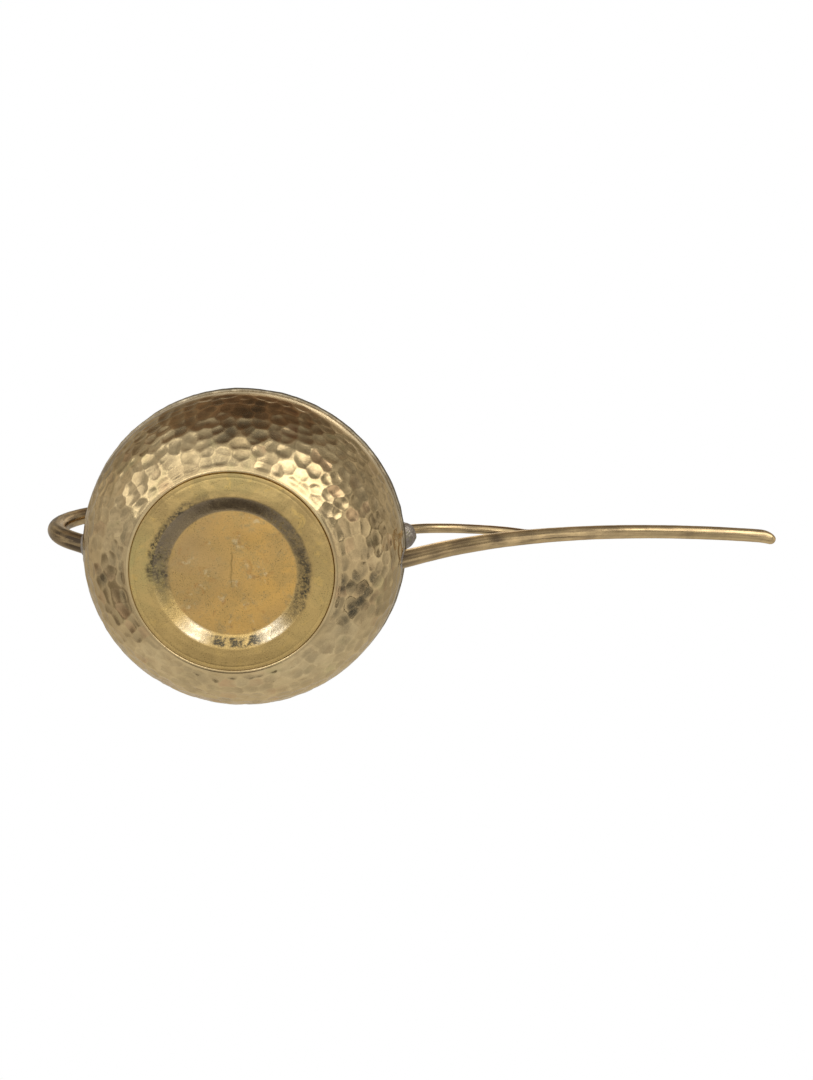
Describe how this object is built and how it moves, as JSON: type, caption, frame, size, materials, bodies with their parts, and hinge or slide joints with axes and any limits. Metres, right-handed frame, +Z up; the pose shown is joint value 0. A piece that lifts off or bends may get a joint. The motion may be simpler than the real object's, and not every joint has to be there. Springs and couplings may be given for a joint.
{
  "type": "coffee pot",
  "caption": "Cezve coffee pot in hammered brass with a stamped foot, flared mouth with a pouring lip, long rod handle with a brace, and a rod ear opposite it.",
  "frame": {"origin": "on the pot's axis, in the plane of the surface it stands on", "axes": "+Z up along the pot's axis, +X from the axis towards the tip of the long handle, +Y to the right of a person holding the handle and facing the pot"},
  "size_m": [0.286, 0.1, 0.1193],
  "materials": {
    "hammered_brass": "hammered, aged and partly tarnished, tinned inside",
    "foot_brass": "satin, scratched, warm patina",
    "edge_brass": "worn edge with dark line",
    "rod_brass": "drawn rod, aged brown",
    "solder": "dull grey cast solder with green patina"
  },
  "bodies": {
    "root": {"foot_plate": "foot_brass", "bowl": "hammered_brass", "seam_ring": "edge_brass", "upper_body": "hammered_brass", "rim_wire": "edge_brass", "handle_rod": "rod_brass", "brace_rod": "rod_brass", "ear_rod": "rod_brass", "brace_solder": "solder", "handle_solder": "solder", "ear_low_solder": "solder", "ear_top_solder": "solder", "fork_solder": "solder"}
  },
  "joints": []
}
